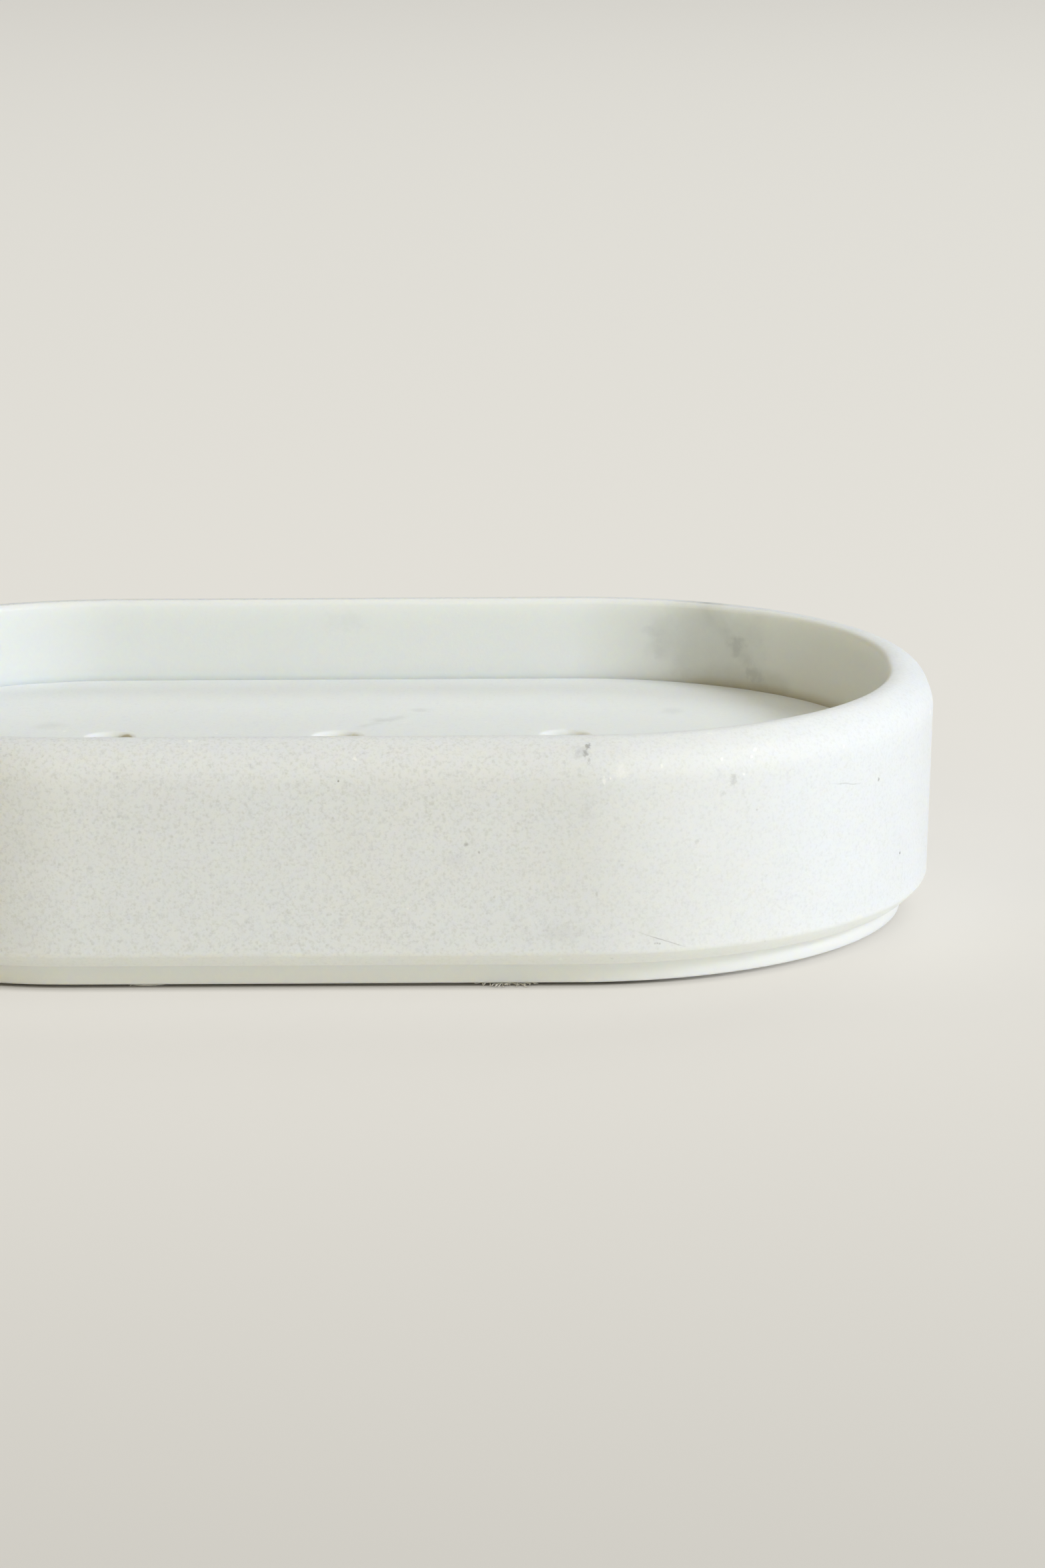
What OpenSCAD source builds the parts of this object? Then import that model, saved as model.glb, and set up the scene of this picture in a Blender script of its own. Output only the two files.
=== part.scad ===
// Marble soap dish: a bowl with a rolled rim and an undercut foot, a loose drain plate
// that lies on a ledge over a catch basin, and four felt pads glued under the foot.
// Millimetres. X runs along the dish, Y across it, Z up. The origin is on the table, under
// the middle of the dish.

/* [Bowl] */
// Length of the bowl over its rim
bowl_l = 150; // [130:1:190]
// Width of the bowl over its rim
bowl_w = 95; // [80:1:115]
// Height of the bowl from its foot to its rim
bowl_h = 30; // [28:0.5:45]
// Straight run in the middle of each short end, between the corner arcs
end_flat = 5; // [1:0.5:12]
// Thickness of the wall at the rim
wall = 5.7; // [5.5:0.1:8]
// How much further in the outer wall stands at its lip than at its rim
side_draft = 0.6; // [0.1:0.1:1]
// Radius of the outer edge of the rim
rim_round = 4.5; // [1.5:0.1:4.5]
// Radius of the inner edge of the rim
rim_inner_round = 0.8; // [0.3:0.1:0.9]

/* [Foot] */
// Height of the undercut foot
foot_h = 2.7; // [1:0.1:4]
// How far in the foot stands from the rim's outline
foot_inset = 3.9; // [3.8:0.1:8]
// Size of the bevel under the lip that hangs over the foot
lip_bevel = 1.7; // [1:0.1:2.7]
// Radius of the foot's lower edge
foot_round = 0.3; // [0.2:0.1:0.9]

/* [Catch basin] */
// Width of the ledge that carries the drain plate
ledge_w = 4; // [2:0.5:8]
// Thickness of the marble under the basin
basin_floor_t = 4.5; // [3:0.1:4.8]
// Radius between the basin's side and its floor
basin_round = 2.5; // [1:0.5:3]

/* [Drain plate] */
// Depth of the tray from the rim down to the top of the drain plate
tray_depth = 10.65; // [8:0.05:12]
// Thickness of the drain plate
plate_t = 7; // [5:0.5:8]
// Gap between the edge of the drain plate and the bowl's wall
plate_gap = 0.5; // [0.3:0.1:1.5]
// Radius of the drain plate's upper and lower edges
plate_round = 0.5; // [0.2:0.1:1.5]

/* [Drain slots] */
// Number of drain slots, in a row along the plate
slot_count = 3; // [1:1:4]
// Distance from one slot to the next
slot_pitch = 29; // [18:0.5:30]
// Width of a slot
slot_w = 5.4; // [4:0.1:9]
// Length of a slot across the plate, over its round ends
slot_l = 17.4; // [12:0.1:40]
// Radius of the softened edge round the top of a slot
slot_round = 0.8; // [0.4:0.1:2]

/* [Felt pads] */
// Diameter of a pad
pad_d = 8; // [5:0.5:12]
// Thickness of a pad
pad_t = 0.4; // [0.3:0.1:2]
// Distance of a pad's centre from the middle of the dish, along it
pad_x = 21.5; // [12:0.5:28]
// Distance from a pad's edge in to the foot's edge
pad_inset = 1; // [0.5:0.1:4]

/* [Hidden] */
$fn = 96;
quarter_turn = 90;
sides = 4;
overrun = 1;
// the outline is a rectangle with round corners: their radius, and where their centres are
corner_r = (bowl_w - end_flat) / 2;
corner_x = bowl_l / 2 - corner_r;
corner_y = end_flat / 2;
// heights above the foot's lower face
rim_z = bowl_h - rim_round;
lip_z = foot_h + lip_bevel;
plate_top_z = bowl_h - tray_depth;
ledge_z = plate_top_z - plate_t;
// distances in from the rim's outline
basin_inset = wall + ledge_w;
plate_inset = wall + plate_gap;
// the outer wall's distance in from the outline at a height z
function draft_at(z) = side_draft * (rim_z - z) / (rim_z - lip_z);
// where the pads lie across the dish, so that each keeps its distance from the foot's edge
pad_reach = corner_r - foot_inset - pad_inset - pad_d / 2;
pad_past_corner = max(0, pad_x - corner_x);
pad_y = corner_y + sqrt(pad_reach ^ 2 - pad_past_corner ^ 2);

// A rectangle from its lower left corner to its upper right one
module block(low, high) {
    translate(low) square(high - low);
}

// A quarter of a disc about a point, turned by a number of quarter turns
module quarter_disc(centre, r, turns) {
    translate(centre) rotate(turns * quarter_turn) intersection() {
        circle(r);
        square(2 * r);
    }
}

// Draws a section that is given as distances in from the rim's outline, up to the corner centres
module from_outline() {
    translate([corner_r, 0]) mirror([1, 0]) children();
}

// Carries a section round the dish: four corner arcs, and four straight runs between them
module carry_round() {
    for (i = [0:sides - 1]) {
        along = i % 2 == 0 ? [corner_x, corner_y] : [corner_y, corner_x];
        rotate(i * quarter_turn) translate([along[0], along[1], 0]) {
            rotate_extrude(angle = quarter_turn) from_outline() children();
            rotate([quarter_turn, 0, 0]) linear_extrude(2 * along[1]) from_outline() children();
        }
    }
}

// The block between the corner centres, which laps over the carried section's ends
module middle(low_z, high_z) {
    half = [corner_x + overrun, corner_y + overrun];
    translate([-half[0], -half[1], low_z]) cube([2 * half[0], 2 * half[1], high_z - low_z]);
}

// The rolled rim, from the pocket's wall out over its two round edges
module rim_section() {
    inner_x = wall - rim_inner_round;
    quarter_disc([rim_round, rim_z], rim_round, 1);
    block([rim_round, rim_z], [inner_x, bowl_h]);
    block([inner_x, rim_z], [wall, bowl_h - rim_inner_round]);
    quarter_disc([inner_x, bowl_h - rim_inner_round], rim_inner_round, 0);
}

// The wall beside the tray and the drain plate, which leans in a little towards its lip
module wall_section() {
    polygon([[0, rim_z], [wall, rim_z], [wall, ledge_z], [draft_at(ledge_z), ledge_z]]);
}

// The lower body: the rest of the wall, the bevel under its lip, and the foot set in from it
module lower_section() {
    bevel_x = side_draft + lip_bevel;
    foot_x = foot_inset + foot_round;
    lip_edge = [[side_draft, lip_z], [bevel_x, foot_h]];
    body_edge = [[corner_r, foot_h], [corner_r, ledge_z], [draft_at(ledge_z), ledge_z]];
    polygon(concat(lip_edge, body_edge));
    block([foot_inset, foot_round], [corner_r, foot_h]);
    quarter_disc([foot_x, foot_round], foot_round, 2);
    block([foot_x, 0], [corner_r, foot_round]);
}

// The hollow under the drain plate, with a round edge along its floor
module basin_section() {
    round_x = basin_inset + basin_round;
    round_z = basin_floor_t + basin_round;
    block([basin_inset, round_z], [corner_r + overrun, ledge_z + overrun]);
    block([round_x, basin_floor_t], [corner_r + overrun, round_z]);
    quarter_disc([round_x, round_z], basin_round, 2);
}

module bowl_section() {
    rim_section();
    wall_section();
    difference() {
        lower_section();
        basin_section();
    }
}

module bowl() {
    color([0.90, 0.92, 0.90]) translate([0, 0, pad_t]) {
        carry_round() bowl_section();
        middle(0, basin_floor_t);
    }
}

// The edge of the drain plate, round at the top and at the bottom
module plate_section() {
    round_x = plate_inset + plate_round;
    quarter_disc([round_x, plate_top_z - plate_round], plate_round, 1);
    quarter_disc([round_x, ledge_z + plate_round], plate_round, 2);
    block([plate_inset, ledge_z + plate_round], [round_x, plate_top_z - plate_round]);
    block([round_x, ledge_z], [corner_r, plate_top_z]);
}

// Half of a slot's section, from its middle plane out: straight, then opening in a round edge
module slot_section() {
    half = slot_w / 2;
    edge_z = plate_top_z - slot_round;
    block([0, ledge_z - overrun], [half, plate_top_z + overrun]);
    difference() {
        block([half, edge_z], [half + slot_round, plate_top_z + overrun]);
        translate([half + slot_round, edge_z]) circle(slot_round);
    }
}

// The cutter for one slot: two round ends and the straight run between them
module slot_cutter() {
    run = slot_l - slot_w;
    for (end = [-1, 1])
        translate([0, end * run / 2, 0]) rotate_extrude() slot_section();
    translate([0, run / 2, 0]) rotate([quarter_turn, 0, 0]) linear_extrude(run) {
        slot_section();
        mirror([1, 0]) slot_section();
    }
}

module drain_plate() {
    first_x = -slot_pitch * (slot_count - 1) / 2;
    color([0.88, 0.91, 0.90]) translate([0, 0, pad_t]) difference() {
        union() {
            carry_round() plate_section();
            middle(ledge_z, plate_top_z);
        }
        for (i = [0:slot_count - 1])
            translate([first_x + i * slot_pitch, 0, 0]) slot_cutter();
    }
}

// A felt pad, right or left of the middle, at the back or at the front
module felt_pad(side, depth) {
    color([0.93, 0.92, 0.89]) translate([side * pad_x, depth * pad_y, 0]) cylinder(h = pad_t, d = pad_d);
}

bowl();
drain_plate();
felt_pad(-1, -1);  // felt_pad_front_left
felt_pad(1, -1);  // felt_pad_front_right
felt_pad(-1, 1);  // felt_pad_back_left
felt_pad(1, 1);  // felt_pad_back_right
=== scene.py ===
import math

import bpy
from mathutils import Matrix, Vector


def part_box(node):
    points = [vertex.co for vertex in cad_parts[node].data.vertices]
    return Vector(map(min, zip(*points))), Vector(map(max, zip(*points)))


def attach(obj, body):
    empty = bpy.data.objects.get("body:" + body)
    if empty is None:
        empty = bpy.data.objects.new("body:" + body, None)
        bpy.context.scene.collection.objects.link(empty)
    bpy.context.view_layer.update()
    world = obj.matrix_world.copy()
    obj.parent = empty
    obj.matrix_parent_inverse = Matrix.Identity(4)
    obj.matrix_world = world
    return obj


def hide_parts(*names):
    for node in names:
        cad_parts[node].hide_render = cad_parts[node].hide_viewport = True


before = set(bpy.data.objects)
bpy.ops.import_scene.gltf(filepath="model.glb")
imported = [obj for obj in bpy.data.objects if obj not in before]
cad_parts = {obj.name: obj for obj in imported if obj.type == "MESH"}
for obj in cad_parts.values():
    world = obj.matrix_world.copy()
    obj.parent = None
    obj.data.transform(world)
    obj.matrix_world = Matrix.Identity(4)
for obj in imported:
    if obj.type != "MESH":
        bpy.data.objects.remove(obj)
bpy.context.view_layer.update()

mm = 0.001
scene = bpy.context.scene
print("frame loaded:", ", ".join(sorted(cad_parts)))


# Small helpers

def tone(red, green, blue):
    # a colour as the screen shows it, 0 to 255, made linear for the shaders
    def linear(value):
        share = value / 255
        return share / 12.92 if share <= 0.04045 else ((share + 0.055) / 1.055) ** 2.4
    return (linear(red), linear(green), linear(blue), 1.0)


def addNode(tree, kind, inputs=None, **settings):
    # a new node, where each input takes a plain value or the socket that feeds it
    node = tree.nodes.new(kind)
    for name, value in settings.items():
        setattr(node, name, value)
    for name, value in (inputs or {}).items():
        if isinstance(value, bpy.types.NodeSocket):
            tree.links.new(value, node.inputs[name])
        else:
            node.inputs[name].default_value = value
    return node


def newTree(name, kind, inputs, outputs):
    # a node group with named sockets: inputs are (name, type, value), outputs (name, type)
    tree = bpy.data.node_groups.new(name, kind)
    for label, held, value in inputs:
        socket = tree.interface.new_socket(label, in_out="INPUT", socket_type="NodeSocket" + held)
        if value is not None:
            socket.default_value = value
    for label, held in outputs:
        tree.interface.new_socket(label, in_out="OUTPUT", socket_type="NodeSocket" + held)
    return tree, tree.nodes.new("NodeGroupInput").outputs, tree.nodes.new("NodeGroupOutput").inputs


def mathNode(tree, operation, first, second=None, clamp=False):
    inputs = {0: first} if second is None else {0: first, 1: second}
    return addNode(tree, "ShaderNodeMath", inputs, operation=operation, use_clamp=clamp).outputs[0]


def rampNode(tree, source, start, end, smooth=True, low=0.0, high=1.0):
    # turns a value from start to end into one from low to high
    node = addNode(tree, "ShaderNodeMapRange", {
        "Value": source, "From Min": start, "From Max": end, "To Min": low, "To Max": high,
    }, interpolation_type="SMOOTHSTEP" if smooth else "LINEAR")
    return node.outputs[0]


def vectorNode(tree, operation, first, second=None):
    inputs = {0: first}
    if second is not None:
        inputs["Scale" if operation == "SCALE" else 1] = second
    node = addNode(tree, "ShaderNodeVectorMath", inputs, operation=operation)
    return node.outputs["Value" if operation in ("LENGTH", "DOT_PRODUCT") else 0]


def layOver(tree, colour, mask, strength, shade):
    # mixes a shade over the colour, by a mask times a strength
    blend = addNode(tree, "ShaderNodeMix", {
        "Factor": mathNode(tree, "MULTIPLY", mask, strength, clamp=True), "A": colour, "B": shade,
    }, data_type="RGBA")
    return blend.outputs["Result"]


def finishTree(tree, given, made, geometry):
    # ends a Geometry Nodes tree in one real mesh with its material
    real = addNode(tree, "GeometryNodeRealizeInstances", {"Geometry": geometry})
    finish = addNode(tree, "GeometryNodeSetMaterial", {
        "Geometry": real.outputs[0], "Material": given["Material"],
    })
    tree.links.new(finish.outputs[0], made["Mesh"])
    return tree


def newMaterial(name, values):
    # a material whose Principled BSDF has its fixed values set
    material = bpy.data.materials.new(name)
    material.use_nodes = True
    shader = material.node_tree.nodes["Principled BSDF"]
    for label, value in values.items():
        shader.inputs[label].default_value = value
    return material, material.node_tree, shader


def runTree(obj, tree, values):
    # puts a Geometry Nodes tree on an object, fills its inputs and leaves the result as a plain mesh
    modifier = obj.modifiers.new(tree.name, "NODES")
    modifier.node_group = tree
    for item in tree.interface.items_tree:
        if item.item_type == "SOCKET" and item.in_out == "INPUT" and item.name in values:
            modifier[item.identifier] = values[item.name]
    graph = bpy.context.evaluated_depsgraph_get()
    graph.update()
    result = bpy.data.meshes.new_from_object(obj.evaluated_get(graph))
    obj.modifiers.remove(modifier)
    obj.data = result
    return obj


def meshObject(name, points, edges):
    mesh = bpy.data.meshes.new(name)
    mesh.from_pydata(points, edges, [])
    obj = bpy.data.objects.new(name, mesh)
    scene.collection.objects.link(obj)
    return obj


def smoothBelow(obj, degrees):
    # smooth shading, with a hard edge wherever two faces meet at more than the angle
    obj.data.shade_smooth()
    obj.data.set_sharp_from_angle(angle=math.radians(degrees))


# The section tree: carries a drawn section round a rectangle with round corners

weldWithin = 0.002 * mm      # points closer than this become one


def sectionTree():
    tree, given, made = newTree(
        "carrySection", "GeometryNodeTree",
        [
            ("Section", "Geometry", None),
            ("Length", "Float", 0.1),
            ("Width", "Float", 0.05),
            ("Corner Radius", "Float", 0.02),
            ("Corner Steps", "Int", 96),
            ("Steps Round", "Int", 400),
            ("Cap Inset", "Float", 0.01),
            ("Upper Cap", "Float", 0.01),
            ("Lower Cap", "Float", 0.0),
            ("Material", "Material", None),
        ],
        [("Mesh", "Geometry")],
    )
    link = tree.links.new

    outline = addNode(tree, "GeometryNodeCurvePrimitiveQuadrilateral", {
        "Width": given["Length"], "Height": given["Width"],
    })
    corners = addNode(tree, "GeometryNodeFilletCurve", {
        "Curve": outline.outputs[0], "Count": given["Corner Steps"],
        "Radius": given["Corner Radius"],
    }, mode="POLY")
    even = addNode(tree, "GeometryNodeResampleCurve", {
        "Curve": corners.outputs[0], "Count": given["Steps Round"],
    }, mode="COUNT")

    # the section is drawn as inset and height, and the sweep wants outward and downward
    turned = addNode(tree, "GeometryNodeTransform", {
        "Rotation": (0, 0, math.pi), "Geometry": given["Section"],
    })
    profile = addNode(tree, "GeometryNodeMeshToCurve", {0: turned.outputs[0]})
    swept = addNode(tree, "GeometryNodeCurveToMesh", {
        "Curve": even.outputs[0], "Profile Curve": profile.outputs[0],
    })
    walls = addNode(tree, "GeometryNodeFlipFaces", {0: swept.outputs[0]})   # the sweep faces inwards

    # the flat middles, on the ring where the section ends
    outward = addNode(tree, "GeometryNodeInputNormal").outputs[0]
    inset = mathNode(tree, "MULTIPLY", given["Cap Inset"], -1.0)
    ring = addNode(tree, "GeometryNodeSetPosition", {
        "Geometry": even.outputs[0], "Offset": vectorNode(tree, "SCALE", outward, inset),
    })
    flat = addNode(tree, "GeometryNodeFillCurve", {"Curve": ring.outputs[0]})

    joined = addNode(tree, "GeometryNodeJoinGeometry")
    link(walls.outputs[0], joined.inputs[0])
    for height, upward in (("Upper Cap", True), ("Lower Cap", False)):
        lift = addNode(tree, "ShaderNodeCombineXYZ", {"Z": given[height]})
        cap = addNode(tree, "GeometryNodeTransform", {
            "Geometry": flat.outputs[0], "Translation": lift.outputs[0],
        })
        if not upward:
            cap = addNode(tree, "GeometryNodeFlipFaces", {0: cap.outputs[0]})
        link(cap.outputs[0], joined.inputs[0])

    merged = addNode(tree, "GeometryNodeMergeByDistance", {
        "Distance": weldWithin, "Geometry": joined.outputs[0],
    })
    return finishTree(tree, given, made, merged.outputs[0])


def arc(centreIn, centreUp, radius, fromDegrees, toDegrees, steps):
    # points of an arc in a section, where x is the inset and y the height
    points = []
    for step in range(steps + 1):
        angle = math.radians(fromDegrees + (toDegrees - fromDegrees) * step / steps)
        points.append((centreIn + radius * math.cos(angle), centreUp + radius * math.sin(angle)))
    return points


def straight(start, end, steps):
    return [
        (start[0] + (end[0] - start[0]) * step / steps, start[1] + (end[1] - start[1]) * step / steps)
        for step in range(1, steps)
    ]


def sectionObject(name, points):
    chain = [(point[0], point[1], 0.0) for point in points]
    return meshObject(name, chain, [(k, k + 1) for k in range(len(chain) - 1)])


# Shader groups shared by the stones

# the tints that drift through a stone, the size that each goes by, and how far its noise is shifted
drifts = (("Warm", "Cloud Size", 0.0), ("Grey", "Cloud Size", 57.0), ("Mottle", "Mottle Size", 23.0))
fades = {                    # where each mask begins and where it is full
    "cloud": (0.42, 0.68),
    "grain": (1.0, 0.3),
    "dust": (0.5, 0.75),
    "vein": (1.0, 0.0),
    "veinEnd": (1.0, 0.35),
    "veinBeads": (0.35, 0.65),
    "patch": (1.0, 0.1),
    "patchEdge": (1.3, 0.7),
    "inside": (-0.05, -0.35),
    "foot": (-0.08, 0.08),   # this one and the next two are heights in millimetres
    "lip": (-0.6, 0.5),
    "wallFoot": (1.4, 0.2),
}
crystal = {
    "wobble": (0.9, 0.9, 0.9),   # how far its outline is pushed about
    "smallest": 0.6,         # added to a draw from 0 to 1 for its size
    "faintest": 0.25,        # and this for its strength
}


def driftGroup():
    # slow changes of tint through the block, with a finer mottle over them
    tree, given, made = newTree(
        "stoneDrift", "ShaderNodeTree",
        [
            ("Point", "Vector", None),
            ("Base", "Color", (0.8, 0.8, 0.8, 1)),
            ("Warm", "Color", (0.8, 0.78, 0.7, 1)),
            ("Grey", "Color", (0.6, 0.62, 0.6, 1)),
            ("Mottle", "Color", (0.7, 0.7, 0.7, 1)),
            ("Cloud Size", "Float", 30.0),
            ("Mottle Size", "Float", 4.0),
            ("Warm Share", "Float", 0.5),
            ("Grey Share", "Float", 0.2),
            ("Mottle Share", "Float", 0.2),
        ],
        [("Colour", "Color")],
    )
    link = tree.links.new
    colour = given["Base"]
    for shade, size, offset in drifts:
        shifted = vectorNode(tree, "ADD", given["Point"], (offset, offset * 0.4, -offset))
        cloud = addNode(tree, "ShaderNodeTexNoise", {
            "Detail": 4.0, "Roughness": 0.55, "Distortion": 0.35, "Vector": shifted,
            "Scale": mathNode(tree, "DIVIDE", 1.0, given[size]),
        })
        level = rampNode(tree, cloud.outputs["Fac"], *fades["cloud"])
        colour = layOver(tree, colour, level, given[shade + " Share"], given[shade])
    link(colour, made["Colour"])
    return tree


def speckleGroup():
    # single crystals scattered through the stone: each has its own size and strength
    tree, given, made = newTree(
        "stoneSpeckle", "ShaderNodeTree",
        [
            ("Point", "Vector", None),
            ("Grain Size", "Float", 0.8),
            ("Share", "Float", 0.1),
            ("Fill", "Float", 0.4),
        ],
        [("Mask", "Float"), ("Height", "Float")],
    )
    link = tree.links.new
    perGrain = mathNode(tree, "DIVIDE", 1.0, given["Grain Size"])
    inGrains = vectorNode(tree, "SCALE", given["Point"], perGrain)
    wobble = addNode(tree, "ShaderNodeTexNoise", {"Scale": 1.7, "Detail": 2.0, "Vector": inGrains})
    shift = addNode(tree, "ShaderNodeVectorMath", {
        0: wobble.outputs["Color"], 1: crystal["wobble"], 2: inGrains,
    }, operation="MULTIPLY_ADD")
    cells = addNode(tree, "ShaderNodeTexVoronoi", {
        "Scale": 1.0, "Randomness": 1.0, "Vector": shift.outputs[0],
    })
    dice = addNode(tree, "ShaderNodeSeparateColor", {0: cells.outputs["Color"]})
    chosen = mathNode(tree, "LESS_THAN", dice.outputs[0], given["Share"])
    size = mathNode(tree, "ADD", dice.outputs[1], crystal["smallest"])
    reach = mathNode(tree, "MULTIPLY", given["Fill"], size)
    core = rampNode(tree, mathNode(tree, "DIVIDE", cells.outputs["Distance"], reach), *fades["grain"])
    strength = mathNode(tree, "ADD", dice.outputs[2], crystal["faintest"], clamp=True)
    depth = mathNode(tree, "MULTIPLY", core, strength)
    link(mathNode(tree, "MULTIPLY", chosen, depth), made["Mask"])
    link(dice.outputs[2], made["Height"])
    return tree


def veinGroup():
    # a thin wandering sheet through the stone, which shows as a line where it meets a surface
    tree, given, made = newTree(
        "stoneVein", "ShaderNodeTree",
        [
            ("Point", "Vector", None),
            ("Through", "Vector", (0, 0, 0)),
            ("Facing", "Vector", (1, 0, 0)),
            ("Reach", "Float", 15.0),
            ("Thickness", "Float", 1.0),
            ("Wander", "Float", 3.0),
        ],
        [("Mask", "Float")],
    )
    link = tree.links.new
    away = vectorNode(tree, "SUBTRACT", given["Point"], given["Through"])
    off = vectorNode(tree, "DOT_PRODUCT", away, given["Facing"])
    path = addNode(tree, "ShaderNodeTexNoise", {
        "Scale": 0.11, "Detail": 4.0, "Roughness": 0.6, "Vector": given["Point"],
    })
    centred = mathNode(tree, "SUBTRACT", path.outputs["Fac"], 0.5)
    swing = mathNode(tree, "MULTIPLY", centred, given["Wander"])
    depth = mathNode(tree, "ABSOLUTE", mathNode(tree, "ADD", off, swing))
    line = rampNode(tree, mathNode(tree, "DIVIDE", depth, given["Thickness"]), *fades["vein"])
    distance = vectorNode(tree, "LENGTH", away)
    fade = rampNode(tree, mathNode(tree, "DIVIDE", distance, given["Reach"]), *fades["veinEnd"])
    beads = addNode(tree, "ShaderNodeTexNoise", {
        "Scale": 0.4, "Detail": 3.0, "Vector": given["Point"],
    })
    broken = rampNode(tree, beads.outputs["Fac"], *fades["veinBeads"], smooth=False, low=0.25)
    both = mathNode(tree, "MULTIPLY", line, fade)
    link(mathNode(tree, "MULTIPLY", both, broken), made["Mask"])
    return tree


def patchGroup():
    # a soft grey patch inside the stone, torn at its edge
    tree, given, made = newTree(
        "stonePatch", "ShaderNodeTree",
        [
            ("Point", "Vector", None),
            ("Centre", "Vector", (0, 0, 0)),
            ("Reach", "Vector", (5, 5, 5)),
            ("Tear Size", "Float", 3.0),
            ("Torn", "Float", 3.0),
        ],
        [("Mask", "Float")],
    )
    link = tree.links.new
    away = vectorNode(tree, "SUBTRACT", given["Point"], given["Centre"])
    distance = vectorNode(tree, "LENGTH", vectorNode(tree, "DIVIDE", away, given["Reach"]))
    tear = addNode(tree, "ShaderNodeTexNoise", {
        "Detail": 5.0, "Roughness": 0.6, "Vector": given["Point"],
        "Scale": mathNode(tree, "DIVIDE", 1.0, given["Tear Size"]),
    })
    centred = mathNode(tree, "SUBTRACT", tear.outputs["Fac"], 0.5)
    rough = mathNode(tree, "MULTIPLY", centred, given["Torn"])
    level = rampNode(tree, mathNode(tree, "SUBTRACT", distance, rough), *fades["patch"])
    edge = rampNode(tree, distance, *fades["patchEdge"])
    link(mathNode(tree, "MULTIPLY", level, edge), made["Mask"])
    return tree


def rubbedAndPaintedMasks():
    # masks for the walls that face the middle of the dish, the lip, the foot and the foot of the inner
    # wall: the grain is rubbed smoother on the inside walls and the foot, and light and shade are painted
    # through all four
    tree, given, made = newTree(
        "stoneRubbedAndPainted", "ShaderNodeTree",
        [
            ("Point", "Vector", None),
            ("Facing", "Vector", None),
            ("Foot Top", "Float", 3.0),
            ("Lip Height", "Float", 1.7),
            ("Tray Floor", "Float", 20.0),
        ],
        [
            ("Inside", "Float"), ("Foot", "Float"), ("Lip", "Float"),
            ("Wall Foot", "Float"),
        ],
    )
    link = tree.links.new
    outward = vectorNode(tree, "NORMALIZE", vectorNode(tree, "MULTIPLY", given["Point"], (1, 1, 0)))
    along = vectorNode(tree, "DOT_PRODUCT", outward, given["Facing"])
    inside = rampNode(tree, along, *fades["inside"])
    link(inside, made["Inside"])
    height = addNode(tree, "ShaderNodeSeparateXYZ", {0: given["Point"]})
    below = mathNode(tree, "SUBTRACT", given["Foot Top"], height.outputs["Z"])
    link(rampNode(tree, below, *fades["foot"], smooth=False), made["Foot"])
    belowLip = mathNode(tree, "ADD", below, given["Lip Height"])
    link(rampNode(tree, belowLip, *fades["lip"]), made["Lip"])
    overFloor = mathNode(tree, "SUBTRACT", height.outputs["Z"], given["Tray Floor"])
    wallFoot = rampNode(tree, overFloor, *fades["wallFoot"])
    link(mathNode(tree, "MULTIPLY", wallFoot, inside), made["Wall Foot"])
    return tree


groups = {
    "drift": driftGroup(), "speckle": speckleGroup(), "vein": veinGroup(), "patch": patchGroup(),
    "rubbed": rubbedAndPaintedMasks(),
}


def groupNode(tree, name, point, values):
    return addNode(tree, "ShaderNodeGroup", dict(values, Point=point), node_tree=groups[name])


def millimetrePoint(tree):
    place = addNode(tree, "ShaderNodeTexCoord")
    return vectorNode(tree, "SCALE", place.outputs["Object"], 1 / mm)


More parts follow.
